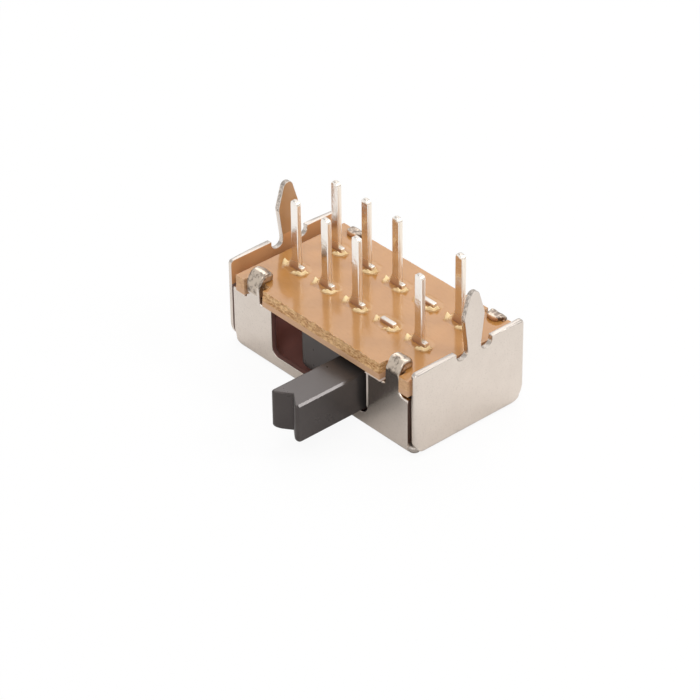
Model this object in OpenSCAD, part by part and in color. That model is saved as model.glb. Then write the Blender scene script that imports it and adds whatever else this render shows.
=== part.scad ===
// Miniature right-angle slide switch with three positions and two poles.
// It lies on its case floor, with the pins up and the knob pointing along -Y.
// The origin is the centre of the pin pattern, on the underside of the case floor.

/* [Case] */
// Length of the case over its two end flaps
case_l = 12.3; // [11.8:0.1:14]
// Distance from the pin pattern's centre to the front wall's outer face
front_y = 3.46; // [3.3:0.02:4.2]
// Distance from the pin pattern's centre to the back wall's outer face
back_y = 2.9; // [2.7:0.02:3.6]
// Thickness of the case sheet
sheet = 0.28; // [0.2:0.01:0.34]
// Inside radius of the sheet's bends
bend_r = 0.1; // [0.06:0.01:0.14]
// Height of the front and back walls, which carry the terminal board
wall_h = 3.08; // [3:0.02:3.6]
// Slot between the front wall's ends and the flaps
corner_gap = 0.09; // [0.05:0.01:0.2]
// Radius of the sheet's lower corners on the tight diagonal
tight_corner_r = 0.3; // [0.1:0.05:0.6]
// Radius of the sheet's lower corners on the wide diagonal
wide_corner_r = 1; // [0.3:0.05:1.2]
// Height of the front window's sill above the table
window_sill = 0.76; // [0.65:0.01:0.85]
// Radius of the window's lower corners
window_r = 0.38; // [0.1:0.02:0.5]
// Room left beside the knob at each end of its travel
window_room = 0.28; // [0.1:0.01:0.5]

/* [Flaps and lugs] */
// Height of the flaps above the terminal board's top
flap_rise = 0.4; // [0.3:0.02:0.8]
// Distance that the flaps end short of the front wall's face
flap_setback = 0.06; // [0:0.01:0.2]
// Radius of the flaps' top corners
flap_top_r = 0.2; // [0.05:0.05:0.5]
// Height of the mounting lugs above the flaps
lug_h = 2.7; // [2:0.1:4]
// Width of the lugs at their widest place
lug_w = 1.14; // [0.95:0.02:1.6]
// Width of the lugs at their necks
lug_neck = 0.77; // [0.5:0.01:0.9]
// Distance from a lug's tip down to its widest place
lug_point = 1.27; // [1:0.05:1.6]
// Radius of the lugs' tips
lug_tip_r = 0.28; // [0.15:0.01:0.4]
// Width of the relief notches beside each lug's neck
relief_w = 0.66; // [0.4:0.02:0.9]
// Depth of the relief notches below the flaps' top
relief_d = 0.44; // [0.2:0.02:0.6]

/* [Crimp tabs] */
// Width of the tabs that are folded over the board
tab_w = 0.88; // [0.6:0.02:1.1]
// Distance from the case's end to the tabs' centre lines
tab_inset = 1.61; // [1.4:0.01:2]
// Reach of the tabs over the board, from the wall's outer face
tab_reach = 0.98; // [0.75:0.02:1.4]
// Radius of the tabs' end corners
tab_end_r = 0.34; // [0.1:0.02:0.4]
// Depth of the wide relief in the wall's top at the case's right end
tab_relief = 0.27; // [0.1:0.01:0.35]
// Width of the slits beside the tabs
slit_w = 0.12; // [0.06:0.01:0.25]
// Depth of the slits beside the tabs
slit_d = 0.07; // [0.03:0.01:0.2]

/* [Terminal board] */
// Thickness of the board
board_t = 0.8; // [0.6:0.05:1.2]
// Offset of the board and the crimp tabs from the pin pattern's centre
board_shift = 0.2; // [0.1:0.01:0.3]
// Gap between the board's end and the nearer flap
board_gap = 0.07; // [0.03:0.01:0.3]
// Distance that the board stands ahead of the front wall
board_lead = 0.08; // [0:0.01:0.15]
// Width of the board's notches beyond the tabs, on their inner sides
notch_room = 0.28; // [0.05:0.01:0.5]
// Clearance of the board's notches on the tabs' outer sides
notch_gap = 0.06; // [0.02:0.01:0.2]
// Length of the raised rim round each terminal's slot
rim_l = 1.4; // [1.1:0.02:1.6]
// Width of the raised rim round each terminal's slot
rim_w = 1; // [0.6:0.02:1.2]
// Height of the raised rims
rim_h = 0.12; // [0.05:0.01:0.16]

/* [Terminals] */
// Pitch of the terminals along the switch, also the knob's step
pitch = 2; // [1.9:0.05:2.1]
// Distance between the two rows of pins
row_gap = 2.35; // [2.25:0.05:2.6]
// Width of a pin
pin_w = 0.45; // [0.35:0.01:0.55]
// Thickness of the terminal strip
pin_t = 0.25; // [0.2:0.01:0.34]
// Height of the pins above the board
pin_h = 3.5; // [2.5:0.1:5]
// Radius of the pins' tips
pin_tip_r = 0.11; // [0.04:0.01:0.15]
// Height over which a pin's left side curves outwards to its foot
flare_h = 0.5; // [0.3:0.05:1.5]
// Width of the terminals in the board's slots
base_w = 0.84; // [0.65:0.02:0.96]
// Height of the terminals' shoulders and stubs above the board
base_h = 0.18; // [0.16:0.01:0.4]
// Width of the blades' shoulders under the board
blade_shoulder = 0.16; // [0.08:0.02:0.25]
// Length of the contact blades below the board
blade_drop = 1.27; // [0.9:0.01:1.3]
// Clearance of a terminal in its slot
slot_gap = 0.02; // [0.01:0.005:0.05]

/* [Slider] */
// Width of the knob
knob_w = 1.72; // [1.3:0.02:2]
// Height of the knob
knob_h = 1.92; // [1.4:0.01:2]
// Reach of the knob beyond the front wall
knob_reach = 3.68; // [2:0.02:6]
// Depth of the V notch in the knob's end
knob_notch = 0.5; // [0.3:0.05:0.9]
// Radius of the knob's two prongs
prong_r = 0.14; // [0.05:0.01:0.2]
// Gap between the knob and the window's sill
sill_gap = 0.095; // [0.06:0.005:0.2]
// Gap between the slider's body and a flap at the end of its travel
end_room = 0.3; // [0.1:0.02:0.7]
// Running clearance of the slider against the walls and the board
slide_gap = 0.05; // [0.03:0.01:0.1]
// Radius of the body's upright corners
body_r = 0.18; // [0.05:0.01:0.3]
// Radius of the body's lower corners at its two ends
body_foot_r = 0.35; // [0.1:0.05:0.5]

/* [Contacts and detent] */
// Length of a contact clip, which bridges two neighbouring blades
clip_l = 3; // [2.6:0.1:3.2]
// Thickness of the clip strip
clip_t = 0.12; // [0.08:0.01:0.14]
// Gap between a clip's leaves and the blade
clip_gap = 0.03; // [0.02:0.005:0.06]
// Diameter of the detent ball
ball_d = 1; // [0.8:0.05:1.1]
// Diameter of the detent holes in the case floor
detent_d = 0.6; // [0.4:0.05:0.7]
// Wall of the boss that guides the ball under the slider
boss_t = 0.25; // [0.15:0.01:0.4]
// Diameter of the detent spring's wire
wire_d = 0.12; // [0.08:0.01:0.15]
// Number of turns of the detent spring
spring_turns = 4; // [3:1:5]
// Thickness of the fibre sheet on the case floor
liner_t = 0.15; // [0.1:0.01:0.2]

/* [Hidden] */
$fn = 48;

// Overshoot of every cutting shape
cut = 0.5;
outer_r = bend_r + sheet;

// Heights, from the table up
board_top = wall_h + board_t;
flap_top = board_top + flap_rise;
lug_top = flap_top + lug_h;
pin_top = board_top + pin_h;
base_top = board_top + base_h;
rim_top = board_top + rim_h;
blade_low = wall_h - blade_drop;
slider_low = window_sill + sill_gap;
slider_top = wall_h - slide_gap;
liner_top = sheet + liner_t;

// Lengths along the switch
flap_inner = case_l / 2 - sheet;
wall_x = flap_inner - corner_gap;
board_l = 2 * (flap_inner - board_gap - board_shift);
tab_x = case_l / 2 - tab_inset;
blade_w = base_w + 2 * blade_shoulder;
knob_x = pitch;
body_l = 2 * (flap_inner - knob_x - end_room);
window_w = 2 * (pitch + knob_w / 2 + window_room);

// Distances across the switch
front_inner = front_y - sheet;
back_inner = back_y - sheet;
row_y = row_gap / 2;
knob_tip = front_y + knob_reach;

// Clip channels and clip pockets in the slider
fit_gap = 0.02;
blade_gap = 0.13;
clip_seat = 0.2;
clip_bow = 0.1;
clip_half = pin_t / 2 + clip_gap + clip_t + clip_bow;
channel_w = 2 * (clip_half + clip_t / 2 + 2 * fit_gap);
channel_low = blade_low - blade_gap;
pocket_low = channel_low - clip_seat;
clip_x = knob_x - pitch / 2;

// Detent's well in the slider, and the ball just clear of the case floor
detent_x = knob_x + pitch / 2;
well_roof = 0.35;
well_d = ball_d + 2 * fit_gap;
well_top = slider_top - well_roof;
boss_low = liner_top + slide_gap;
ball_z = sheet + fit_gap + ball_d / 2;
liner_gap = 0.1;

steel = [0.84, 0.80, 0.76];
tin = [0.89, 0.87, 0.83];
phenolic = [0.78, 0.60, 0.42];
fibre = [0.36, 0.17, 0.14];
nylon = [0.33, 0.31, 0.31];
bronze = [0.80, 0.62, 0.36];

// Rectangle between two corners, with a radius of its own at each corner
// The radii start at the lower left and go anticlockwise
module round_plate(low, high, radii) {
    places = [low, [high[0], low[1]], high, [low[0], high[1]]];
    inward = [[1, 1], [-1, 1], [-1, -1], [1, -1]];
    difference() {
        translate(low) square(high - low);
        for (i = [0:3])
            if (radii[i] > 0)
                translate(places[i]) corner_cut(radii[i], inward[i]);
    }
}

// What a rounding of radius r takes away from a square corner
module corner_cut(r, inward) {
    difference() {
        translate((r - cut) / 2 * inward) square(r + cut, center = true);
        translate(r * inward) circle(r);
    }
}

// Extrudes a Y-Z outline along X, between two places
module along_x(x0, x1) {
    translate([x0, 0, 0]) rotate([90, 0, 90]) linear_extrude(x1 - x0) children();
}

// Extrudes an X-Z outline along Y, between two places
module along_y(y0, y1) {
    translate([0, y1, 0]) rotate([90, 0, 0]) linear_extrude(y1 - y0) children();
}

// Extrudes an X-Y outline upwards, between two heights
module upwards(z0, z1) {
    translate([0, 0, z0]) linear_extrude(z1 - z0) children();
}

// Strip of even thickness along a list of points, with round joints
module strip(points, t) {
    for (p = points) translate(p) circle(d = t);
    for (i = [1:len(points) - 1]) {
        step = points[i] - points[i - 1];
        translate(points[i - 1]) rotate(atan2(step[1], step[0]))
            translate([0, -t / 2]) square([norm(step), t]);
    }
}

// Where the tangent from point p meets the circle of radius r round a centre, anticlockwise from p
function tangent_point(p, centre, r) =
    let (away = p - centre, turn = atan2(away[1], away[0]) + acos(r / norm(away)))
    centre + r * [cos(turn), sin(turn)];

// A half outline on the right of the Y axis, and its mirror image
function both_halves(half) = concat(half, [for (i = [len(half) - 1:-1:0]) [-half[i][0], half[i][1]]]);

// Leaf-shaped lug in Y-Z, from the bottom of its relief notches to its tip
module lug_outline() {
    wide_r = lug_w / 2;
    wide_z = lug_top - lug_point;
    tip_z = lug_top - lug_tip_r;
    lean = asin((wide_r - lug_tip_r) / (tip_z - wide_z));
    side = [cos(lean), sin(lean)];
    neck = [lug_neck / 2, flap_top];
    half = [
        [lug_neck / 2, flap_top - relief_d - cut],
        neck,
        tangent_point(neck, [0, wide_z], wide_r),
        [0, wide_z] + wide_r * side,
        [0, tip_z] + lug_tip_r * side
    ];
    polygon(both_halves(half));
    translate([0, wide_z]) circle(wide_r);
    translate([0, tip_z]) circle(lug_tip_r);
}

// End flap in Y-Z with its lug; the two radii are those of its lower corners, front one first
module flap_outline(front_r, back_r) {
    difference() {
        round_plate([-front_y + flap_setback, 0], [back_y + flap_setback, flap_top],
                    [front_r, back_r, flap_top_r, flap_top_r]);
        for (side = [-1, 1])
            translate([side * (lug_neck + relief_w) / 2, flap_top - relief_d])
                round_plate([-relief_w / 2, 0], [relief_w / 2, relief_d + cut],
                            [relief_w * 0.45, relief_w * 0.45, 0, 0]);
    }
    lug_outline();
}

// Right-hand flap, folded up from the floor
module flap(front_r, back_r) {
    intersection() {
        along_y(-front_y - cut, back_y + cut) difference() {
            round_plate([wall_x - outer_r, 0], [case_l / 2, lug_top + cut], [0, outer_r, 0, 0]);
            round_plate([wall_x - outer_r - cut, sheet], [flap_inner, lug_top + 2 * cut],
                        [0, bend_r, 0, 0]);
        }
        along_x(0, case_l) flap_outline(front_r, back_r);
    }
}

// Wall in X-Z with the feet of its two tabs and its reliefs; the radii are those of its lower corners
module wall_outline(left_r, right_r) {
    difference() {
        round_plate([-wall_x, 0], [wall_x, wall_h], [left_r, right_r, 0, 0]);
        for (side = [-1, 1])
            translate([board_shift + side * tab_x - tab_w / 2 - slit_w, wall_h - slit_d])
                square([tab_w + 2 * slit_w, slit_d + cut]);
        round_plate([board_shift + tab_x + tab_w / 2, wall_h - tab_relief],
                    [case_l / 2, wall_h + cut], [tab_relief, 0, 0, 0]);
    }
    for (side = [-1, 1])
        translate([board_shift + side * tab_x - tab_w / 2, window_sill])
            square([tab_w, board_top - bend_r - window_sill]);
}

// Channel of floor, front wall and back wall in Y-Z, as high as the straight part of the tabs
module channel_profile() {
    high = board_top - bend_r;
    difference() {
        round_plate([-front_y, 0], [back_y, high], [outer_r, outer_r, 0, 0]);
        round_plate([-front_inner, sheet], [back_inner, high + cut], [bend_r, bend_r, 0, 0]);
    }
}

// Tab folded over the board from a wall whose outer face lies at y = -face
module folded_tab(face) {
    intersection() {
        along_x(-tab_w / 2, tab_w / 2) difference() {
            round_plate([-face, board_top - outer_r], [-face + tab_reach, board_top + sheet],
                        [0, 0, 0, outer_r]);
            round_plate([-face + sheet, board_top - outer_r - cut], [-face + tab_reach + cut, board_top],
                        [0, 0, 0, bend_r]);
        }
        upwards(wall_h, board_top + sheet + cut)
            round_plate([-tab_w / 2, -face - cut], [tab_w / 2, -face + tab_reach],
                        [0, 0, tab_end_r, tab_end_r]);
    }
}

// Folded steel case with its window, flaps, lugs and crimp tabs
module case() {
    color(steel) {
        difference() {
            union() {
                intersection() {
                    along_x(-wall_x, wall_x) channel_profile();
                    union() {
                        along_y(-front_y - cut, 0) wall_outline(wide_corner_r, tight_corner_r);
                        along_y(0, back_y + cut) wall_outline(tight_corner_r, wide_corner_r);
                    }
                }
                upwards(0, sheet)
                    translate([-wall_x, -front_y + outer_r])
                        square([2 * wall_x, front_y + back_y - 2 * outer_r]);
                flap(tight_corner_r, wide_corner_r);
                mirror([1, 0, 0]) flap(wide_corner_r, tight_corner_r);
            }
            along_y(-front_y - cut, -front_inner + bend_r)
                round_plate([-window_w / 2, window_sill], [window_w / 2, wall_h + cut],
                            [window_r, window_r, 0, 0]);
            for (i = [-1:1])
                translate([detent_x - knob_x + i * pitch, 0, -cut])
                    cylinder(d = detent_d, h = sheet + 2 * cut);
        }
        for (side = [-1, 1])
            translate([board_shift + side * tab_x, 0, 0]) {
                folded_tab(front_y);
                mirror([0, 1, 0]) folded_tab(back_y);
            }
    }
}

// Notch in the board's front edge for a tab; side points from the middle to the tab
module board_notch(side, depth) {
    outer = tab_w / 2 + notch_gap;
    inner = tab_w / 2 + notch_room;
    translate([side > 0 ? -inner : -outer, -cut]) square([outer + inner, depth + cut]);
}

// Low rim that stands up round a terminal where it was pressed into the board
module slot_rim() {
    low = board_top - rim_h;
    intersection() {
        along_x(-rim_l / 2, rim_l / 2)
            round_plate([-rim_w / 2, low], [rim_w / 2, rim_top], [0, 0, rim_h, rim_h]);
        along_y(-rim_w / 2, rim_w / 2)
            round_plate([-rim_l / 2, low], [rim_l / 2, rim_top], [0, 0, rim_h, rim_h]);
    }
}

// Flat outline of the board in X-Y with notches for the tabs
module board_outline() {
    board_front = -front_y - board_lead;
    board_back = back_y - board_lead;
    difference() {
        translate([board_shift - board_l / 2, board_front]) square([board_l, board_back - board_front]);
        for (side = [-1, 1]) {
            translate([board_shift + side * tab_x, board_front])
                board_notch(side, outer_r + board_lead);
            translate([board_shift + side * tab_x, board_back])
                mirror([0, 1]) board_notch(side, outer_r - board_lead);
        }
    }
}

// Phenolic board with a rimmed slot for each terminal
module terminal_board() {
    color(phenolic) difference() {
        union() {
            upwards(wall_h, board_top) board_outline();
            for (column = [-2:2], row = [-1, 1])
                translate([column * pitch, row * row_y, 0]) slot_rim();
        }
        upwards(wall_h - cut, rim_top + cut)
            for (column = [-2:2], row = [-1, 1])
                translate([column * pitch, row * row_y])
                    square([base_w + 2 * slot_gap, pin_t + 2 * slot_gap], center = true);
    }
}

// Fibre sheet on the case floor, slotted for the detent ball
module floor_liner() {
    slot_w = ball_d + 2 * liner_gap;
    ball_mid = detent_x - knob_x;
    color(fibre) upwards(sheet, liner_top) difference() {
        translate([-flap_inner + bend_r + liner_gap, -front_inner + bend_r])
            square([2 * (flap_inner - bend_r - liner_gap), front_inner + back_inner - 2 * bend_r]);
        translate([ball_mid - pitch, -slot_w / 2]) square([2 * pitch, slot_w]);
        for (side = [-1, 1])
            translate([ball_mid + side * pitch, 0]) circle(d = slot_w);
    }
}

// Upright strip through the board in X-Z, up to its shoulders
module base_outline() {
    translate([-base_w / 2, wall_h - cut / 2]) square([base_w, base_top - wall_h + cut / 2]);
}

// Pin in X-Z: its left side curves outwards to the foot, its right side steps out to a shoulder
module pin_outline() {
    step = (base_w - pin_w) / 2;
    flare_r = (flare_h * flare_h + step * step) / (2 * step);
    difference() {
        translate([-base_w / 2, board_top]) square([base_w / 2, base_h + flare_h]);
        translate([-pin_w / 2 - flare_r, base_top + flare_h]) circle(flare_r);
    }
    round_plate([-pin_w / 2, board_top], [pin_w / 2, pin_top], [0, 0, pin_tip_r, pin_tip_r]);
}

// Contact blade under the board in X-Z, reaching over a number of columns
module blade_outline(columns) {
    round_plate([-blade_w / 2, blade_low], [(columns - 1) * pitch + blade_w / 2, wall_h],
                [blade_shoulder, blade_shoulder, 0, 0]);
}

// One stamped terminal: its first column is a stub if it reaches over two columns
module terminal(column, row, columns) {
    last = columns - 1;
    color(tin) translate([column * pitch, row * row_y, 0]) {
        along_y(-pin_t / 2, pin_t / 2) {
            blade_outline(columns);
            for (i = [0:last])
                translate([i * pitch, 0]) base_outline();
        }
        translate([last * pitch, 0, 0]) intersection() {
            along_y(-pin_t / 2, pin_t / 2) pin_outline();
            along_x(-base_w / 2, base_w / 2)
                round_plate([-pin_t / 2, board_top], [pin_t / 2, pin_top], [0, 0, pin_tip_r, pin_tip_r]);
        }
    }
}

module front_terminal_1() { terminal(-2, -1, 1); }
module front_terminal_2() { terminal(-1, -1, 1); }
module front_terminal_3() { terminal(0, -1, 1); }
module front_terminal_4() { terminal(1, -1, 2); }
module back_terminal_1() { terminal(-2, 1, 1); }
module back_terminal_2() { terminal(-1, 1, 1); }
module back_terminal_3() { terminal(0, 1, 1); }
module back_terminal_4() { terminal(1, 1, 2); }

// Knob in X-Y with its swallow-tail end, centred on X = 0
module knob_outline() {
    prong = [knob_w / 2 - prong_r, prong_r - knob_tip];
    notch = [0, knob_notch - knob_tip];
    half = [tangent_point(notch, prong, prong_r), prong, prong + [prong_r, 0],
            [knob_w / 2, -front_inner + slide_gap + body_r]];
    polygon(concat(both_halves(half), [notch]));
    for (side = [-1, 1])
        translate([side * prong[0], prong[1]]) circle(prong_r);
}

// Moulded slider: knob, body, clip channels and the detent's well
module slider() {
    color(nylon) translate([knob_x, 0, 0]) difference() {
        union() {
            intersection() {
                upwards(slider_low, slider_top)
                    round_plate([-body_l / 2, -front_inner + slide_gap],
                                [body_l / 2, back_inner - slide_gap], [body_r, body_r, body_r, body_r]);
                along_y(-front_y, back_y)
                    round_plate([-body_l / 2, slider_low], [body_l / 2, slider_top],
                                [body_foot_r, body_foot_r, 0, 0]);
            }
            upwards(slider_low, slider_low + knob_h) knob_outline();
            translate([detent_x - knob_x, 0, boss_low])
                cylinder(d = well_d + 2 * boss_t, h = well_top - boss_low);
        }
        for (row = [-1, 1])
            translate([0, row * row_y, 0]) {
                translate([-body_l / 2 - cut, -channel_w / 2, channel_low])
                    cube([body_l + 2 * cut, channel_w, slider_top]);
                translate([clip_x - knob_x - clip_l / 2 - fit_gap, -channel_w / 2, pocket_low])
                    cube([clip_l + 2 * fit_gap, channel_w, slider_top]);
            }
        translate([detent_x - knob_x, 0, boss_low - cut])
            cylinder(d = well_d, h = well_top - boss_low + cut);
    }
}

// Spring clip in Y-Z: a web on the pocket's floor and two leaves that close on the blade
module clip_profile() {
    web_z = pocket_low + fit_gap + clip_t / 2;
    grip = pin_t / 2 + clip_gap + clip_t / 2;
    grip_z = (blade_low + wall_h) / 2;
    half = [[clip_half, web_z], [clip_half, blade_low], [grip, grip_z],
            [grip + clip_bow / 2, grip_z + 2 * clip_t]];
    for (side = [0, 1])
        mirror([side, 0]) strip(concat([[0, web_z]], half), clip_t);
}

module contact_clip(row) {
    color(bronze) translate([clip_x, row * row_y, 0])
        along_x(-clip_l / 2, clip_l / 2) clip_profile();
}

module front_contact_clip() { contact_clip(-1); }
module back_contact_clip() { contact_clip(1); }

// Coil spring between the ball and the top of its well, as a swept tube
module detent_spring() {
    sides = 8;
    per_turn = 20;
    low = ball_z + ball_d / 2 + fit_gap + wire_d / 2;
    high = well_top - fit_gap - wire_d / 2;
    coil_r = well_d / 2 - fit_gap - wire_d / 2;
    steps = spring_turns * per_turn;
    rings = [for (i = [0:steps], k = [0:sides - 1])
        let (turn = 360 * i / per_turn, around = 360 * k / sides, r = coil_r + wire_d / 2 * cos(around))
        [r * cos(turn), r * sin(turn), low + (high - low) * i / steps + wire_d / 2 * sin(around)]];
    skin = [for (i = [0:steps - 1], k = [0:sides - 1])
        let (next = (k + 1) % sides)
        [i * sides + k, i * sides + next, (i + 1) * sides + next, (i + 1) * sides + k]];
    caps = [[for (k = [sides - 1:-1:0]) k], [for (k = [0:sides - 1]) steps * sides + k]];
    color(steel) translate([detent_x, 0, 0]) polyhedron(rings, concat(skin, caps));
}

module detent_ball() {
    color(steel) translate([detent_x, 0, ball_z]) sphere(d = ball_d);
}

case();
terminal_board();
floor_liner();
front_terminal_1();
front_terminal_2();
front_terminal_3();
front_terminal_4();
back_terminal_1();
back_terminal_2();
back_terminal_3();
back_terminal_4();
slider();
front_contact_clip();
back_contact_clip();
detent_spring();
detent_ball();
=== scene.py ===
import math

import bmesh
import bpy
from mathutils import Matrix, Vector, noise


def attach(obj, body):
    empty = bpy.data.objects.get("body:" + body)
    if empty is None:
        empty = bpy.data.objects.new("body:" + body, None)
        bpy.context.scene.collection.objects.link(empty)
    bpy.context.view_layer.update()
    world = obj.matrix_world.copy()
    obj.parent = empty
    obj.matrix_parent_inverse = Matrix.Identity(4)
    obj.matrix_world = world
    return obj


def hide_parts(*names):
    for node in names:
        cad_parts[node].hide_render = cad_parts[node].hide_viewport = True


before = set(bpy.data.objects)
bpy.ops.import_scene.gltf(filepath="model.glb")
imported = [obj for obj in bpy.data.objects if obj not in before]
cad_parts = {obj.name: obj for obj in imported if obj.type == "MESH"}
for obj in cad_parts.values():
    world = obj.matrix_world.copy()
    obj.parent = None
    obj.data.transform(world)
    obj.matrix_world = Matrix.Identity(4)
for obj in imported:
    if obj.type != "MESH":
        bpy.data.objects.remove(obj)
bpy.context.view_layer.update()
mm = 0.001
perMetre = 1000


# a socket that takes part in sums; every sum adds a Math node
class Wire:
    def __init__(self, finish, socket):
        self.finish = finish
        self.socket = socket

    def sum(self, operation, first, second):
        return self.finish.node("ShaderNodeMath", {"operation": operation}, {0: first, 1: second})

    def __add__(self, other):
        return self.sum("ADD", self, other)

    def __radd__(self, other):
        return self.sum("ADD", other, self)

    def __sub__(self, other):
        return self.sum("SUBTRACT", self, other)

    def __rsub__(self, other):
        return self.sum("SUBTRACT", other, self)

    def __mul__(self, other):
        return self.sum("MULTIPLY", self, other)

    def __rmul__(self, other):
        return self.sum("MULTIPLY", other, self)

    def atLeast(self, other):
        return self.sum("MAXIMUM", self, other)

    def atMost(self, other):
        return self.sum("MINIMUM", self, other)


# a node tree with its shader; finishes are built in millimetres on Object coordinates
class Finish:
    def __init__(self, owner):
        owner.use_nodes = True
        self.owner = owner
        self.tree = owner.node_tree
        self.shader = self.tree.nodes.get("Principled BSDF")

    def node(self, kind, settings=None, sockets=None, out=0):
        made = self.tree.nodes.new(kind)
        for key, value in (settings or {}).items():
            if key == "stops":
                while len(made.color_ramp.elements) < len(value):
                    made.color_ramp.elements.new(1)
                for element, (place, level) in zip(made.color_ramp.elements, value):
                    element.position = place
                    element.color = (level, level, level, 1)
            else:
                setattr(made, key, value)
        for key, value in (sockets or {}).items():
            self.feed(made.inputs[key], value)
        return Wire(self, made.outputs[out])

    def feed(self, socket, value):
        if isinstance(value, Wire):
            self.tree.links.new(value.socket, socket)
        else:
            socket.default_value = value

    def place(self, stretch=(1, 1, 1)):
        spot = self.node("ShaderNodeTexCoord", out="Object")
        scale = [perMetre * s for s in stretch]
        return self.node("ShaderNodeMapping", None, {"Vector": spot, "Scale": scale})

    def grain(self, scale, detail=3, stretch=(1, 1, 1), roughness=0.5):
        return self.node("ShaderNodeTexNoise", None, {"Vector": self.place(stretch), "Scale": scale,
                                                      "Detail": detail, "Roughness": roughness})

    def ramp(self, value, *stops):
        return self.node("ShaderNodeValToRGB", {"stops": stops}, {"Fac": value})

    def mask(self, name):
        return self.node("ShaderNodeAttribute", {"attribute_name": name}, out="Fac")

    def blend(self, share, first, second):
        made = self.node("ShaderNodeMix", {"data_type": "RGBA"}, {"Factor": share}, out=2)
        mix = made.socket.node
        self.feed(mix.inputs[6], first)
        self.feed(mix.inputs[7], second)
        return made

    def bump(self, height, depth, under=None):
        sockets = {"Height": height, "Distance": depth * mm, "Strength": 1.0}
        if under is not None:
            sockets["Normal"] = under
        return self.node("ShaderNodeBump", None, sockets, out="Normal")

    def shade(self, **sockets):
        names = {"color": "Base Color", "roughness": "Roughness", "metallic": "Metallic", "normal": "Normal",
                 "ior": "IOR", "coat": "Coat Weight", "coatRoughness": "Coat Roughness",
                 "specularTint": "Specular Tint"}
        for key, value in sockets.items():
            self.feed(self.shader.inputs[names[key]], value)
        return self.owner


def newFinish(name):
    return Finish(bpy.data.materials.new(name))


def rgb(red, green, blue):
    return (red, green, blue, 1)


# camera, at the photograph's angle
shot = {"eye": (88.048, -78.610, 81.511), "azimuth": 48.8409, "elevation": 34.3087, "roll": -0.7635,
        "lens": 166.767, "sensor": 36, "clipStart": 0.01, "clipEnd": 10}


def makeCamera():
    a, e, r = (math.radians(shot[k]) for k in ("azimuth", "elevation", "roll"))
    back = Vector((math.sin(a) * math.cos(e), -math.cos(a) * math.cos(e), math.sin(e)))
    right = Vector((math.cos(a), math.sin(a), 0))
    up = back.cross(right)
    right, up = (math.cos(r) * right + math.sin(r) * up, math.cos(r) * up - math.sin(r) * right)
    data = bpy.data.cameras.new("camera")
    data.lens = shot["lens"]
    data.sensor_width = shot["sensor"]
    data.clip_start = shot["clipStart"]
    data.clip_end = shot["clipEnd"]
    camera = bpy.data.objects.new("camera", data)
    bpy.context.scene.collection.objects.link(camera)
    camera.matrix_world = (Matrix.Translation(Vector(shot["eye"]) * mm)
                           @ Matrix((right, up, back)).transposed().to_4x4())
    bpy.context.scene.camera = camera


makeCamera()
print("camera made")

# floor, world and lamps
studio = {"skyLevel": 0.45, "floorHalf": 3.0, "floorDrop": 0.005, "floorTone": (0.94, 0.93, 0.92),
          "floorGlow": 0.92, "mirroredGlow": 0.0, "distance": 0.42}
softboxes = {"top": {"size": 0.34, "level": 1.2, "azimuth": 0, "elevation": 90},
             "back": {"size": 0.3, "level": 1.9, "azimuth": 131.2, "elevation": 48},  # mirrored by the board
             "side": {"size": 0.1, "level": 12, "azimuth": 44, "elevation": 38.5},  # lights the knob's edge
             "front": {"size": 0.2, "level": 2.6, "azimuth": -54, "elevation": 37}}  # shines into the window


def seenAsWhite(finish, mirrored=1):
    ray = finish.node("ShaderNodeLightPath")
    camera, glossy, through = (Wire(finish, ray.socket.node.outputs[k])
                               for k in ("Is Camera Ray", "Is Glossy Ray", "Is Transmission Ray"))
    return camera.atLeast(glossy.atLeast(through) * mirrored)


def makeWorld():
    world = bpy.data.worlds.new("studio")
    bpy.context.scene.world = world
    finish = Finish(world)
    level = studio["skyLevel"]
    sky = finish.tree.nodes["Background"]
    sky.inputs["Color"].default_value = rgb(1, 1, 1)
    finish.feed(sky.inputs["Strength"], seenAsWhite(finish) * (1 - level) + level)


def makeFloor():
    bm = bmesh.new()
    bmesh.ops.create_grid(bm, x_segments=1, y_segments=1, size=studio["floorHalf"])
    bmesh.ops.translate(bm, vec=(0, 0, -studio["floorDrop"] * mm), verts=bm.verts)
    mesh = bpy.data.meshes.new("floor")
    bm.to_mesh(mesh)
    bm.free()
    floor = bpy.data.objects.new("floor", mesh)
    bpy.context.scene.collection.objects.link(floor)
    finish = newFinish("paleFloor")
    glow = finish.node("ShaderNodeEmission", None, {"Color": rgb(1, 1, 1), "Strength": 1.0})
    paper = finish.node("ShaderNodeBsdfDiffuse", None, {"Color": rgb(*studio["floorTone"])})
    share = seenAsWhite(finish, studio["mirroredGlow"]) * studio["floorGlow"]
    both = finish.node("ShaderNodeMixShader", None, {0: share, 1: paper, 2: glow})
    output = finish.tree.nodes["Material Output"]
    finish.feed(output.inputs["Surface"], both)
    mesh.materials.append(finish.owner)


def makeSoftbox(name, size, level, azimuth, elevation):
    data = bpy.data.lights.new(name, "AREA")
    data.shape = "SQUARE"
    data.size = size
    data.energy = level * math.pi * size * size  # level is the lamp face's own brightness
    lamp = bpy.data.objects.new(name, data)
    bpy.context.scene.collection.objects.link(lamp)
    a, e = math.radians(azimuth), math.radians(elevation)
    away = Vector((math.cos(a) * math.cos(e), math.sin(a) * math.cos(e), math.sin(e)))
    lamp.location = away * studio["distance"]
    lamp.rotation_mode = "QUATERNION"
    lamp.rotation_quaternion = (-away).to_track_quat("-Z", "Y")
    lamp.visible_camera = False


makeWorld()
makeFloor()
for name, softbox in softboxes.items():
    makeSoftbox(name + "Softbox", **softbox)
bpy.context.scene.view_settings.view_transform = "Standard"
print("studio made")


# copies of the solids, worked in millimetres
work = {"joinWithin": 0.001, "flatWithin": 0.5, "cutWithin": 1e-5, "roundFrom": 30, "roundRoom": 1.6,
        "sharpFrom": 40}


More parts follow.
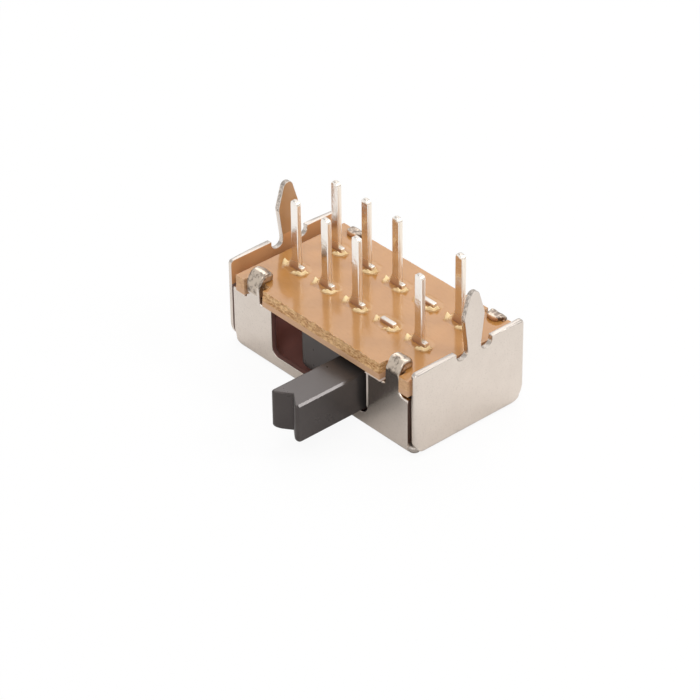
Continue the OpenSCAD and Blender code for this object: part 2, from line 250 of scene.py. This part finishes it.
# a solid's lowest and highest corner
def boxOf(node):
    spots = [v.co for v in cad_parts[node].data.vertices]
    return [[round(pick(s[k] for s in spots) * perMetre, 3) for k in range(3)] for pick in (min, max)]


def joinFlat(bm):
    bmesh.ops.dissolve_limit(bm, angle_limit=math.radians(work["flatWithin"]), verts=bm.verts, edges=bm.edges)


def copyOf(node):
    bm = bmesh.new()
    bm.from_mesh(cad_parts[node].data)
    bmesh.ops.scale(bm, vec=(perMetre, perMetre, perMetre), verts=bm.verts)
    bmesh.ops.remove_doubles(bm, verts=bm.verts, dist=work["joinWithin"])
    joinFlat(bm)
    return bm


def reach(edge, face):
    along = (edge.verts[1].co - edge.verts[0].co).normalized()
    return max((v.co - edge.verts[0].co).cross(along).length for v in face.verts)


# rounds outer edges, apart from those of faces that are too narrow for it
def soften(bm, width, segments=2, angle=work["roundFrom"], where=None):
    edges = [e for e in bm.edges if e.is_convex and e.calc_face_angle(0) > math.radians(angle)
             and (where is None or where(e))
             and min(reach(e, f) for f in e.link_faces) > work["roundRoom"] * width]
    bmesh.ops.bevel(bm, geom=edges, offset=width, offset_type="OFFSET", segments=segments, profile=0.5,
                    affect="EDGES", material=-1, clamp_overlap=False)


def cutAt(bm, faces, axis, spot):
    parts = faces + list({e for f in faces for e in f.edges}) + list({v for f in faces for v in f.verts})
    across = Vector([1.0 if k == axis else 0.0 for k in range(3)])
    bmesh.ops.bisect_plane(bm, geom=parts, dist=work["cutWithin"], plane_no=across, plane_co=across * spot)


def cutEvery(bm, rule, axis, step):
    spots = [v.co[axis] for f in bm.faces if rule(f) for v in f.verts]
    first, last = min(spots), max(spots)
    count = round((last - first) / step)
    for i in range(1, count):
        cutAt(bm, [f for f in bm.faces if rule(f)], axis, first + (last - first) * i / count)


def limited(value):
    return min(max(value, 0), 1)


# each mask is a rule that gives a face its share of one look
def finishPiece(bm, name, node, body, material, masks):
    for key, rule in masks.items():
        layer = bm.faces.layers.float.new(key)
        for face in bm.faces:
            face[layer] = rule(face.calc_center_median(), face.normal)
    for face in bm.faces:
        face.smooth = True
    for edge in bm.edges:
        edge.smooth = len(edge.link_faces) == 2 and edge.calc_face_angle(0) < math.radians(work["sharpFrom"])
    bmesh.ops.scale(bm, vec=(mm, mm, mm), verts=bm.verts)
    mesh = bpy.data.meshes.new(name)
    bm.to_mesh(mesh)
    bm.free()
    mesh.materials.append(material)
    piece = bpy.data.objects.new(name, mesh)
    bpy.context.scene.collection.objects.link(piece)
    even = piece.modifiers.new("evenShading", "WEIGHTED_NORMAL")
    even.keep_sharp = True
    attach(piece, body)
    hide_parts(node)
    print(name, "made,", len(mesh.polygons), "faces")


# satin nickel sheet, with mottled sheared edges and worn, dented tabs
caseLow, caseHigh = boxOf("case")
boardLow = boxOf("terminal_board")[0]
boardThick = 0.8
tabProud = 0.06  # the back tabs stand out from their wall
case = {"front": caseLow[1], "back": caseHigh[1] - tabProud, "end": caseHigh[0], "sheet": 0.28, "bend": 0.38,
        "boardTop": boardLow[2] + boardThick,
        "near": 0.01, "skin": 0.05,  # how close a point lies to the surface it is taken for
        "edge": 0.035, "tabEdge": 0.1, "flapEdge": 0.15, "wallEdge": 0.09, "lipEdge": 0.06,  # rounds' widths
        "wallTop": boardLow[2], "wallEdgeLow": 2.6, "wallEdgeGap": 0.2, "flapTop": 4.28, "flapEndFrom": 2.5,
        "lugFoot": 0.12, "lugMottle": 5.1, "reliefHalf": 1.25, "reliefRise": 0.3,
        "windowEnd": 3.14, "windowLow": 0.76, "windowCorner": 0.38, "cutTo": 1.2,
        "tab": {"low": 3.34, "cell": 0.05, "dent": 0.06, "dentGrain": 1.9, "dentNoise": (0.8, 2.0, 2),
                "dentFloor": 0.2, "bow": 0.22, "reach": 0.98,
                "backShare": (0.8, 0.68, 0.8)},  # of the solid's width, reach and rise, kept by the back tabs
        "burr": {"reach": 0.045, "rise": 0.055, "ramp": 0.15, "from": 0.1, "deep": 0.03,
                 "lipFlare": 0.17, "lipTo": 4.2},
        "corner": {"gapX": 5.78, "wallInset": 0.09, "wallBand": 0.1, "gapMore": 0.07, "flapInset": 0.06,
                   "round": 0.75, "lift": 0.1, "cuts": (0.45, 0.52, 0.6, 0.7), "trim": 0.09, "trimTop": 0.44,
                   "toe": (5.72, -3.08, 0.38), "toeRadius": 0.375, "toeSteps": (24, 12),
                   "toeCap": 0.3, "toeInner": 0.4},  # share of the toe kept above and inside its middle
        "wearAndPaintedLight": {"notch": 0.35, "inside": 0.75, "burr": 0.6, "lip": 1.8, "backTab": 1.6, "backTabEnd": 0.7,
                 "lug": 1.45},  # how strong each worn look, painted shade, painted reflection and painted highlight is
        "tones": {"dark": rgb(0.655, 0.585, 0.525), "pale": rgb(0.735, 0.665, 0.60),
                  "speck": rgb(0.45, 0.39, 0.34), "fleck": rgb(0.14, 0.115, 0.095),
                  "worn": rgb(0.53, 0.45, 0.37), "stain": rgb(0.22, 0.18, 0.15),
                  "dirt": rgb(0.15, 0.11, 0.09), "dull": rgb(0.42, 0.38, 0.345),
                  # the lip tone is a painted highlight along the front wall's top edge
                  "lip": rgb(0.86, 0.80, 0.75), "cut": rgb(0.2, 0.095, 0.08),
                  # the last two tones are a painted reflection of the brown board, lighter on the flaps and
                  # darker on the lugs
                  "reflectedBoard": rgb(0.72, 0.385, 0.18), "lug": rgb(0.26, 0.18, 0.10)}}
tab, burr, corner, wearAndPaintedLight = (case[k] for k in ("tab", "burr", "corner", "wearAndPaintedLight"))


def nickelFinish():
    f = newFinish("satinNickel")
    tones = case["tones"]
    sheared, cut, worn, dull, tinted = (f.mask(k) for k in ("sheared", "cut", "worn", "dull", "tinted"))
    cloud = f.grain(1.3, 3)
    fleck = f.ramp(f.grain(11, 4, roughness=0.7), (0.42, 0), (0.56, 1))
    stain = f.ramp(f.grain(5, 3, roughness=0.6), (0.48, 0), (0.64, 1))
    dirt = f.ramp(f.grain(6, 3, roughness=0.6), (0.42, 0), (0.6, 1.4))
    speck = f.ramp(f.grain(12, 2), (0.56, 0), (0.72, 0.3))
    # painted highlight: beyond a share of 1 the wall's lip turns pale and hardly metallic
    pale = (dull - 1).atLeast(0)
    tone = f.blend(cloud, tones["dark"], tones["pale"])
    tone = f.blend(speck, tone, tones["speck"])
    tone = f.blend(worn.atMost(1), tone, f.blend(stain, tones["worn"], tones["stain"]))
    tone = f.blend((worn - 1).atLeast(0) * dirt, tone, tones["dirt"])
    tone = f.blend(dull.atMost(1), tone, tones["dull"])
    tone = f.blend(pale, tone, tones["lip"])
    # painted shade: the window's cut and the flaps inside the case take a dark red-brown
    tone = f.blend(cut, tone, tones["cut"])
    # painted reflection of the brown board on the flaps' inner faces, the lugs and the back tabs' ends
    tone = f.blend(tinted.atMost(1), tone, tones["reflectedBoard"])
    tone = f.blend((tinted - 1).atLeast(0), tone, tones["lug"])
    tone = f.blend(fleck * sheared * 0.6, tone, tones["fleck"])
    rough = 0.14 + cloud * 0.1 + sheared * 0.2 + cut * 0.4 + worn * 0.12 + dull * 0.2
    # the painted shade, painted reflection and painted highlight are laid on as nearly non-metallic colour
    bare = 1 - cut.atLeast(tinted).atLeast(pale).atMost(1) * 0.9
    fine = f.bump(f.grain(0.9, 2), 0.01, f.bump(f.grain(14, 2), 0.0012))
    return f.shade(color=tone, metallic=bare, roughness=rough,
                   normal=f.bump(f.grain(7, 3) * sheared, 0.03, fine))


def onTab(at):
    return at.z > tab["low"] and abs(at.x) < case["end"] - 2 * case["sheet"]


def onFlap(at):
    return abs(at.x) > case["end"] - case["sheet"] - case["near"] and at.z > case["bend"]


# rough shears at the lugs' tips and in the notches beside their necks
def shearedFace(at, normal):
    if not onFlap(at) or abs(normal.x) > 0.35:
        return 0.0
    if at.z > case["lugMottle"]:
        return 1.0
    inNotch = abs(at.y) < case["reliefHalf"] and at.z < case["flapTop"] + case["reliefRise"]
    return wearAndPaintedLight["notch"] if inNotch else 0.0


def innerFace(at, normal):
    inner = onFlap(at) and abs(at.x) < case["end"] - case["sheet"] + case["skin"]
    return inner and abs(normal.x) > 0.8 and normal.x * at.x < 0


# painted shade, as red-brown as the sheet behind it, on the window's bare cut and on the flaps inside the
# case
def interiorShadeFace(at, normal):
    if innerFace(at, normal) and at.z < case["wallTop"]:
        return wearAndPaintedLight["inside"]
    inWall = at.y < case["front"] + case["sheet"] + case["near"] and -0.35 < normal.y < 0.9
    atWindow = (-case["windowEnd"] - case["skin"] < at.x < case["cutTo"]
                and case["bend"] < at.z < case["wallTop"] - case["skin"])
    return 1.0 if inWall and atWindow else 0.0


# tabs; the back ones are the dirtier
def wornFace(at, normal):
    if not onTab(at):
        return 0.0
    return 1.0 if at.y < 0 else wearAndPaintedLight["backTab"]


# the flaps' top edges, the burr and the front toe, dull; the wall's lip above the burr gets a painted
# highlight
def dullAndHighlightFace(at, normal):
    if at.y < case["front"] - case["near"] / 2 and at.z < case["wallTop"] + case["near"]:
        return wearAndPaintedLight["burr"] if at.z < case["wallTop"] - case["lipEdge"] else wearAndPaintedLight["lip"]
    onToe = (at - Vector(corner["toe"])).length < corner["toeRadius"] + case["near"]
    if onToe and max(abs(normal.x), abs(normal.y)) < 0.99:
        return 1.0
    return 1.0 if onFlap(at) and normal.z > 0.5 else 0.0


# painted reflection of the brown board on the inner faces of the flaps and their lugs, and on the back tabs'
# ends
def paintedReflectionFace(at, normal):
    if onTab(at):
        return wearAndPaintedLight["backTabEnd"] if at.y > 0 and normal.y < -0.4 else 0.0
    if not innerFace(at, normal) or at.z < case["wallTop"]:
        return 0.0
    return wearAndPaintedLight["lug"] if at.z > case["flapTop"] else 1.0


# wider corner gaps, and flaps with rounder or shorter lower ends
def openCorners(bm):
    flapFrom = corner["gapX"] + case["near"]
    flapFront, flapBack = case["front"] + corner["flapInset"], case["back"] - corner["flapInset"]
    middle = (flapFront + flapBack) / 2
    for z in corner["cuts"] + (case["wallTop"], case["flapTop"] + case["lugFoot"]):
        cutAt(bm, [f for f in bm.faces if all(abs(v.co.x) > flapFrom for v in f.verts)], 2, z)
    r = corner["round"]
    for vert in bm.verts:
        x, y, z = vert.co
        atGap = abs(abs(x) - corner["gapX"] + corner["wallInset"]) < corner["wallBand"]
        if abs(x) > flapFrom and z < r + corner["lift"]:
            up = min(max(z - corner["lift"], 0), r)
            short = r - math.sqrt(r ** 2 - (r - up) ** 2)
            trim = corner["trim"] if z < corner["trimTop"] and (y - middle) * x > 0 else 0
            vert.co.y = max(y - trim, flapFront + short) if x > 0 else min(y + trim, flapBack - short)
        elif atGap and not flapFront + case["sheet"] < y < flapBack - case["sheet"]:
            vert.co.x -= math.copysign(corner["gapMore"], x)


# the floor's round toes under the open corners
def addToes(bm):
    around, down = corner["toeSteps"]
    for side in (1, -1):
        middle = Vector(corner["toe"])
        if side < 0:
            middle = Vector((-middle.x, case["front"] + case["back"] - middle.y, middle.z))
        toe = bmesh.ops.create_uvsphere(bm, u_segments=around, v_segments=down, radius=corner["toeRadius"])
        for vert in toe["verts"]:
            vert.co.z *= corner["toeCap"] if vert.co.z > 0 else 1
            vert.co.y *= corner["toeInner"] if vert.co.y * side > 0 else 1
        bmesh.ops.translate(bm, vec=middle, verts=toe["verts"])


# the burr at the window's end, and the wall's top edge, which stands out under the board
def raiseBurr(bm):
    start = case["windowLow"] + case["windowCorner"]
    cuts = ((0, case["windowEnd"] + case["edge"] + burr["reach"]), (2, start), (2, start + burr["ramp"]))
    for axis, spot in cuts:
        wall = [f for f in bm.faces
                if f.normal.y < -0.9 and f.calc_center_median().y < case["front"] + case["near"]]
        cutAt(bm, wall, axis, spot)
    lipBand = case["lipEdge"] + case["near"]
    for vert in bm.verts:
        atEnd = abs(vert.co.x - case["windowEnd"]) < case["edge"] + case["near"]
        if atEnd and vert.co.y < case["front"] + burr["deep"] and vert.co.z > start + burr["from"]:
            vert.co.y -= burr["rise"]
        top = vert.co.z - case["wallTop"] + lipBand
        beside = case["windowEnd"] - case["skin"] < vert.co.x < burr["lipTo"]
        if top > 0 and beside and vert.co.y < case["front"] + lipBand:
            vert.co.y -= burr["lipFlare"] * min(top / lipBand, 1) ** 2


# dents in all tabs; the front ones bow up, the back ones have smaller heads
def dentTabs(bm):
    def upper(face):
        return onTab(face.calc_center_median()) and face.normal.z > -0.1
    for axis in (0, 1, 2):
        cutEvery(bm, upper, axis, tab["cell"])
    bm.normal_update()
    middles = []
    for side in (-1, 1):
        spots = [v.co.x for v in bm.verts if onTab(v.co) and v.co.x * side > 0]
        middles.append((min(spots) + max(spots)) / 2)
    wide, far, high = tab["backShare"]
    for vert in (v for v in bm.verts if onTab(v.co)):
        wall = case["front"] if vert.co.y < 0 else case["back"]
        along = limited(abs(vert.co.y - wall) / tab["reach"])
        hollow = noise.fractal(vert.co * tab["dentGrain"], *tab["dentNoise"]) if vert.normal.z > 0.2 else -1
        vert.co -= vert.normal * tab["dent"] * limited(tab["dentFloor"] + hollow)
        above = limited((vert.co.z - case["boardTop"]) / case["sheet"])  # the underside stays on the board
        if vert.co.y < 0:
            vert.co.z += tab["bow"] * above * math.sin(math.pi * along)
        elif vert.co.z > case["boardTop"] - case["skin"]:
            middle = middles[vert.co.x > 0]
            vert.co.x = middle + (vert.co.x - middle) * (1 - (1 - wide) * along)
            vert.co.y = wall + (vert.co.y - wall) * far
            vert.co.z = case["boardTop"] + (vert.co.z - case["boardTop"]) * high


def makeCase():
    def lowest(edge):
        return min(v.co.z for v in edge.verts)

    def tabEdge(edge):
        return lowest(edge) > tab["low"] + 2 * case["near"] and onTab(edge.verts[0].co)

    def flapEnd(edge):
        outside = all(abs(v.co.x) > case["end"] - case["near"] and abs(v.co.y) > case["flapEndFrom"]
                      for v in edge.verts)
        return outside and lowest(edge) > case["bend"] + case["skin"]

    def wallEdge(edge):
        first = edge.verts[0].co
        outside = all(min(abs(v.co.y - case["front"]), abs(v.co.y - case["back"])) < case["near"]
                      and abs(v.co.x) > case["windowEnd"] + case["wallEdgeGap"] for v in edge.verts)
        return outside and lowest(edge) > case["wallEdgeLow"] and not onTab(first) and not onFlap(first)

    def wallLip(edge):
        return all(abs(v.co.z - case["wallTop"]) < case["near"] and abs(v.co.y - case["front"]) < case["near"]
                   for v in edge.verts)

    def otherEdge(edge):
        return lowest(edge) > case["bend"] + case["skin"] and not onTab(edge.verts[0].co)
    bm = copyOf("case")
    openCorners(bm)
    addToes(bm)
    soften(bm, case["tabEdge"], 4, where=tabEdge)
    soften(bm, case["flapEdge"], 4, where=flapEnd)
    soften(bm, case["wallEdge"], 3, where=wallEdge)
    soften(bm, case["lipEdge"], 3, where=wallLip)
    soften(bm, case["edge"], where=otherEdge)
    raiseBurr(bm)
    dentTabs(bm)
    finishPiece(bm, "foldedCase", "case", "frame", nickelFinish(),
                {"sheared": shearedFace, "cut": interiorShadeFace, "tinted": paintedReflectionFace, "worn": wornFace,
                 "dull": dullAndHighlightFace})


# brown paper board with rough sheared edges, pushed up in a lip round each pin and stub
firstLow, firstHigh = boxOf("back_terminal_1")
secondLow = boxOf("back_terminal_2")[0]
board = {"low": boardLow[2], "top": boardLow[2] + boardThick, "near": 0.002,
         "front": -3.2, "tornHalf": 4.5, "tornDeep": 0.3, "crumbCell": 0.07, "crumbGrain": 3.1,
         "crumbNoise": (0.6, 2.0, 3), "crumbDepth": 0.06, "otherDepth": 0.2, "smoothShare": 0.4,
         "pressedShare": 0.6,
         "lip": {"pitch": secondLow[0] - firstLow[0], "row": (firstLow[1] + firstHigh[1]) / 2,
                 "length": 1.5, "width": 1.04, "outerPower": 3, "height": 0.2, "low": 0.04, "steps": 64,
                 "holeLength": 0.85, "holeWidth": 0.26, "holePower": 8, "wobbleStart": 5.3,
                 "wobbleGrain": 3.4, "wobbleOut": 0.1, "wobbleLow": 0.4, "wobbleCrest": 0.7,
                 "crests": ((193, 14, 1.0), (300, 10, 0.4), (322, 10, 0.8), (337, 22, 0.35),
                            (351, 9, 0.9)),  # turn, spread, rise
                 "section": ((1, -0.2), (1, 0), (0.92, 0.35), (0.82, 0.85), (0.7, 1), (0.56, 0.8),
                             (0.36, 0.35), (0.12, 0.1), (0.01, 0.1), (0.01, -0.2)),  # way out, rise
                 # the valley numbers place a painted shade in front of each terminal
                 "paleRise": 0.09, "valley": (0.34, 0.42), "valleyTop": 0.04, "valleyShadeShare": 0.55},
         "tones": {"dark": rgb(0.44, 0.195, 0.048), "pale": rgb(0.55, 0.265, 0.08),
                   "fibre": rgb(0.43, 0.185, 0.045), "edgeDark": rgb(0.42, 0.18, 0.058),
                   "edgePale": rgb(0.88, 0.58, 0.29), "pressed": rgb(0.66, 0.40, 0.235),
                   # the raised tone is paler crushed paper with a painted highlight; the hollow tone is
                   # painted shade
                   "raised": rgb(1.0, 0.77, 0.42), "hollow": rgb(0.36, 0.15, 0.04)}}
lip = board["lip"]


def phenolicFinish():
    f = newFinish("paperPhenolic")
    tones = board["tones"]
    sawn = f.mask("sawn")
    cloud = f.grain(0.7, 3)
    fibre = f.grain(9, 3, (0.35, 1, 1))
    layer = f.ramp(f.grain(8, 4, (0.55, 0.55, 1.5), 0.7), (0.36, 0), (0.62, 1))
    face = f.blend(cloud, tones["dark"], tones["pale"])
    face = f.blend(f.ramp(fibre, (0.5, 0), (0.8, 0.5)), face, tones["fibre"])
    edge = f.blend(layer, tones["edgeDark"], tones["edgePale"])
    edge = f.blend(f.mask("pressed"), edge, tones["pressed"])
    tone = f.blend(sawn, face, edge)
    # paler crushed paper with a painted highlight on the lips' crests
    tone = f.blend(f.mask("raised"), tone, tones["raised"])
    # painted shade: the hollow tone darkens the front valley of each lip
    tone = f.blend(f.mask("hollow"), tone, tones["hollow"])
    rough = 0.1 + fibre * 0.06 + sawn * 0.5
    fine = f.bump(f.grain(0.9, 2), 0.015, f.bump(f.grain(3, 2), 0.002))
    return f.shade(color=tone, roughness=rough, ior=1.43,
                   normal=f.bump(f.grain(12, 3) * sawn, 0.04, fine))


def upShare(z):
    return (z - board["low"]) / (board["top"] - board["low"])


def crumble(bm):
    def sawn(face):
        return abs(face.normal.z) < 0.5 and face.calc_area() > 0
    for axis in (0, 1, 2):
        cutEvery(bm, lambda f: sawn(f) and abs(f.normal[axis]) < 0.5, axis, board["crumbCell"])
    bm.normal_update()
    for vert in bm.verts:
        faces = [f for f in vert.link_faces if sawn(f)]
        if faces and upShare(vert.co.z) > board["smoothShare"]:
            bite = limited(0.5 + noise.fractal(vert.co * board["crumbGrain"], *board["crumbNoise"]))
            inward = -sum((f.normal for f in faces), Vector()).normalized()
            inward.z = 0
            torn = vert.co.y < board["front"] and abs(vert.co.x) < board["tornHalf"]
            depth = board["crumbDepth"] * (1 if torn else board["otherDepth"])
            vert.co += inward * depth * bite


def roundedReach(turn, length, width, power):
    c, w = abs(math.cos(turn)) * 2 / length, abs(math.sin(turn)) * 2 / width
    return (c ** power + w ** power) ** (-1 / power)


# a point of a lip's section: out from the hole's rim, and up by a height that swells into petals
def lipSpot(middle, turn, out, rise):
    toward = Vector((math.cos(turn), math.sin(turn), 0))
    wobble = noise.noise(middle * lip["wobbleStart"] + toward * lip["wobbleGrain"])
    outer = roundedReach(turn, lip["length"], lip["width"], lip["outerPower"])
    outer *= 1 + lip["wobbleOut"] * wobble
    inner = roundedReach(turn, lip["holeLength"], lip["holeWidth"], lip["holePower"])
    high = lip["low"] * (1 + lip["wobbleLow"] * wobble)
    for crest, spread, petal in lip["crests"]:
        away = (math.degrees(turn) - crest + 180) % 360 - 180
        high += petal * (1 + lip["wobbleCrest"] * wobble) * math.exp(-(away / spread) ** 2)
    up = Vector((0, 0, board["top"] + rise * high * lip["height"]))
    return middle + up + toward * (inner + out * (outer - inner))


# one loop of edges, drawn out along the section and closed on itself
def addLip(bm, x, y):
    middle = Vector((x, y, 0))
    ring = bmesh.ops.create_circle(bm, segments=lip["steps"], radius=1,
                                   matrix=Matrix.Translation(middle))["verts"]
    first = edges = list(dict.fromkeys(e for v in ring for e in v.link_edges))
    faces = []
    for number, (out, rise) in enumerate(lip["section"]):
        if number > 0:
            grown = bmesh.ops.extrude_edge_only(bm, edges=edges)["geom"]
            ring = [g for g in grown if isinstance(g, bmesh.types.BMVert)]
            edges = [g for g in grown if isinstance(g, bmesh.types.BMEdge) and g.is_boundary]
            faces += [g for g in grown if isinstance(g, bmesh.types.BMFace)]
        for vert in ring:
            turn = math.atan2(vert.co.y - y, vert.co.x - x)
            vert.co = lipSpot(middle, turn, out, rise)
    faces += bmesh.ops.bridge_loops(bm, edges=first + edges)["faces"]
    bmesh.ops.recalc_face_normals(bm, faces=faces)


def sawnFace(at, normal):
    return 1.0 if abs(normal.z) < 0.9 and at.z < board["top"] - board["near"] else 0.0


def pressedFace(at, normal):
    if upShare(at.z) < board["smoothShare"]:
        return 1.0
    torn = abs(at.x) <= board["tornHalf"] and at.y <= board["front"] + board["tornDeep"]
    return 0.0 if torn else board["pressedShare"]


# share of the paler paper and painted highlight, growing with a lip's height
def paleCrestAndHighlightFace(at, normal):
    return limited((at.z - board["top"]) / lip["paleRise"])


# painted shade in the valley between a terminal and its lip, on the front side
def valleyShadeFace(at, normal):
    x = (at.x + lip["pitch"] / 2) % lip["pitch"] - lip["pitch"] / 2
    y = at.y - math.copysign(lip["row"], at.y)
    halfLong, halfWide = lip["valley"]
    near = abs(x) < lip["length"] * halfLong and -lip["width"] * halfWide < y < 0
    low = board["top"] + board["near"] < at.z < board["top"] + lip["valleyTop"]
    return lip["valleyShadeShare"] if near and low else 0.0


def makeBoard():
    bm = copyOf("terminal_board")
    for vert in bm.verts:
        vert.co.z = min(vert.co.z, board["top"])  # the lips take the place of the solid's plain rims
    joinFlat(bm)
    crumble(bm)
    for column in range(-2, 3):
        for row in (-1, 1):
            addLip(bm, column * lip["pitch"], row * lip["row"])
    bm.normal_update()
    finishPiece(bm, "terminalBoard", "terminal_board", "frame", phenolicFinish(),
                {"sawn": sawnFace, "pressed": pressedFace, "raised": paleCrestAndHighlightFace, "hollow": valleyShadeFace})


# tinned terminals
terminal = {"edge": 0.045, "top": firstHigh[2], "wide": 0.45, "tipOld": 0.11, "tipNew": 0.2, "tipSteps": 8,
            "footTop": 4.6, "footLow": 3.9,  # heights between which the pins take on a painted reflection of the board's brown
            "tones": {"dark": rgb(0.86, 0.82, 0.77), "pale": rgb(0.94, 0.905, 0.86),
                      "sheared": rgb(0.90, 0.80, 0.66), "tip": rgb(0.52, 0.48, 0.44),
                      "foot": rgb(0.50, 0.26, 0.12)}}


def tinFinish():
    f = newFinish("tinPlate")
    tones = terminal["tones"]
    sheared = f.mask("sheared")
    cloud = f.grain(2.2, 3)
    tone = f.blend(cloud, tones["dark"], tones["pale"])
    tone = f.blend(sheared.atMost(1) * 0.5, tone, tones["sheared"])
    tone = f.blend((sheared - 1).atLeast(0), tone, tones["tip"])
    # painted reflection of the brown board on the pins' lower parts
    height = f.node("ShaderNodeSeparateXYZ", None, {"Vector": f.place()}, out="Z")
    foot = f.node("ShaderNodeMapRange", None, {"Value": height, "From Min": terminal["footTop"],
                                               "From Max": terminal["footLow"]})
    foot = foot * (1 - sheared.atMost(1))
    tone = f.blend(foot * 0.65, tone, tones["foot"])
    rough = 0.12 + cloud * 0.08 + sheared * 0.18 + foot * 0.25
    return f.shade(color=tone, metallic=1.0, roughness=rough, normal=f.bump(f.grain(5, 3), 0.006))


def halfWidth(z, radius):
    up = max(z - terminal["top"] + radius, 0)
    return terminal["wide"] / 2 - radius + math.sqrt(max(radius ** 2 - up ** 2, 0))


def roundTip(bm):
    first = terminal["top"] - terminal["tipNew"]
    for i in range(terminal["tipSteps"]):
        turn = math.pi / 2 * i / terminal["tipSteps"]
        cutAt(bm, list(bm.faces), 2, first + terminal["tipNew"] * math.sin(turn))
    tip = [v for v in bm.verts if v.co.z > first]
    middle = (min(v.co.x for v in tip) + max(v.co.x for v in tip)) / 2
    for vert in tip:
        old = halfWidth(vert.co.z, terminal["tipOld"])
        vert.co.x = middle + (vert.co.x - middle) * halfWidth(vert.co.z, terminal["tipNew"]) / old


def shearedTin(at, normal):
    if normal.z > 0.8:
        return 2.0
    return 1.0 if abs(normal.y) < 0.5 else 0.0


def makeTerminals():
    tin = tinFinish()
    for row in ("front", "back"):
        for k in range(1, 5):
            bm = copyOf(f"{row}_terminal_{k}")
            roundTip(bm)
            soften(bm, terminal["edge"], 3)
            finishPiece(bm, f"{row}Terminal{k}", f"{row}_terminal_{k}", "frame", tin,
                        {"sheared": shearedTin})


# dark moulded slider
sliderLow = boxOf("slider")[0]
slider = {"edge": 0.09, "arris": 0.09, "roundFrom": 50, "near": 0.01, "right": 2.86,
          "root": -3.3, "rootRoom": 0.3, "top": 2.775, "low": 0.855,
          "tip": sliderLow[1], "tipRound": 0.26, "tipSteps": 8, "tipLift": 0.75,
          "tones": {"dark": rgb(0.034, 0.030, 0.0285), "pale": rgb(0.046, 0.041, 0.039),
                    "mirrored": rgb(1, 0.86, 0.83)}}


def knobFinish():
    f = newFinish("darkPlastic")
    tones = slider["tones"]
    cloud = f.grain(1.1, 3)
    tone = f.blend(cloud, tones["dark"], tones["pale"])
    rough = 0.24 + cloud * 0.1
    return f.shade(color=tone, roughness=rough, ior=1.5, specularTint=tones["mirrored"],
                   coat=f.mask("rubbed") * 0.4, coatRoughness=0.12,
                   normal=f.bump(f.grain(9, 2), 0.0008))


# rounder lower corners at the knob's tips
def roundTips(bm):
    r = slider["tipRound"]
    for i in range(slider["tipSteps"]):
        cutAt(bm, list(bm.faces), 1, slider["tip"] + r * (1 - math.sin(math.pi / 2 * i / slider["tipSteps"])))
    for vert in bm.verts:
        out = slider["tip"] + r - vert.co.y
        if out > 0:
            lift = r - math.sqrt(max(r * r - out * out, 0))
            down = (slider["top"] - vert.co.z) / (slider["top"] - slider["low"])
            vert.co.z += slider["tipLift"] * lift * max(2 * down - 1, 0)


# the knob's upper right edge, worn bright
def rubbedFace(at, normal):
    return 1.0 if min(normal.x, normal.z) > 0.6 and at.y < slider["root"] else 0.0


def makeSlider():
    def brightEdge(edge):
        return all(abs(v.co.z - slider["top"]) < slider["near"]
                   and abs(v.co.x - slider["right"]) < slider["near"]
                   and v.co.y < slider["root"] + slider["rootRoom"] for v in edge.verts)
    bm = copyOf("slider")
    soften(bm, slider["arris"], 1, slider["roundFrom"], brightEdge)
    soften(bm, slider["edge"], 4, slider["roundFrom"])
    roundTips(bm)
    finishPiece(bm, "sliderMoulding", "slider", "carriage", knobFinish(), {"rubbed": rubbedFace})


# fibre sheet on the floor of the case, painted darker in the middle, where the front lamp shines in, and
# paler at the sides, where the case shades it
liner = {"shadedFrom": 4.7, "litTo": 2.7,  # distances from the middle
         "tones": {"side": rgb(0.66, 0.29, 0.25), "middle": rgb(0.29, 0.125, 0.105),
                   "mottle": rgb(0.52, 0.215, 0.19)}}


def fibreFinish():
    f = newFinish("redFibre")
    tones = liner["tones"]
    cloud = f.grain(3, 4)
    # painted light: this gradient evens out the front lamp's pool of light and the case's shade
    across = f.node("ShaderNodeSeparateXYZ", None, {"Vector": f.place()}, out="X")
    middle = f.node("ShaderNodeMapRange", None, {"Value": across.sum("ABSOLUTE", across, 0),
                                                 "From Min": liner["shadedFrom"],
                                                 "From Max": liner["litTo"]})
    tone = f.blend(middle, tones["side"], tones["middle"])
    tone = f.blend(cloud * 0.2, tone, tones["mottle"])
    return f.shade(color=tone, roughness=0.6 + cloud * 0.2, normal=f.bump(f.grain(18, 3), 0.006))


# the hidden clips, spring and ball
clip = {"finish": "springBronze", "rough": 0.18,
        "dark": rgb(0.62, 0.36, 0.13), "pale": rgb(0.72, 0.46, 0.19)}
detent = {"finish": "springSteel", "rough": 0.15,
          "dark": rgb(0.42, 0.42, 0.43), "pale": rgb(0.52, 0.52, 0.53)}


def springFinish(piece):
    f = newFinish(piece["finish"])
    cloud = f.grain(2.5, 3)
    tone = f.blend(cloud, piece["dark"], piece["pale"])
    return f.shade(color=tone, metallic=1.0, roughness=piece["rough"] + cloud * 0.12)


# pieces that keep their solids
def dressSolids():
    fibre, bronze, steel = fibreFinish(), springFinish(clip), springFinish(detent)
    for node, material in (("floor_liner", fibre), ("front_contact_clip", bronze),
                           ("back_contact_clip", bronze), ("detent_spring", steel), ("detent_ball", steel)):
        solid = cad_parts[node]
        solid.material_slots[0].link = "OBJECT"
        solid.material_slots[0].material = material
    print("liner and hidden pieces dressed")


makeCase()
makeBoard()
makeTerminals()
makeSlider()
dressSolids()
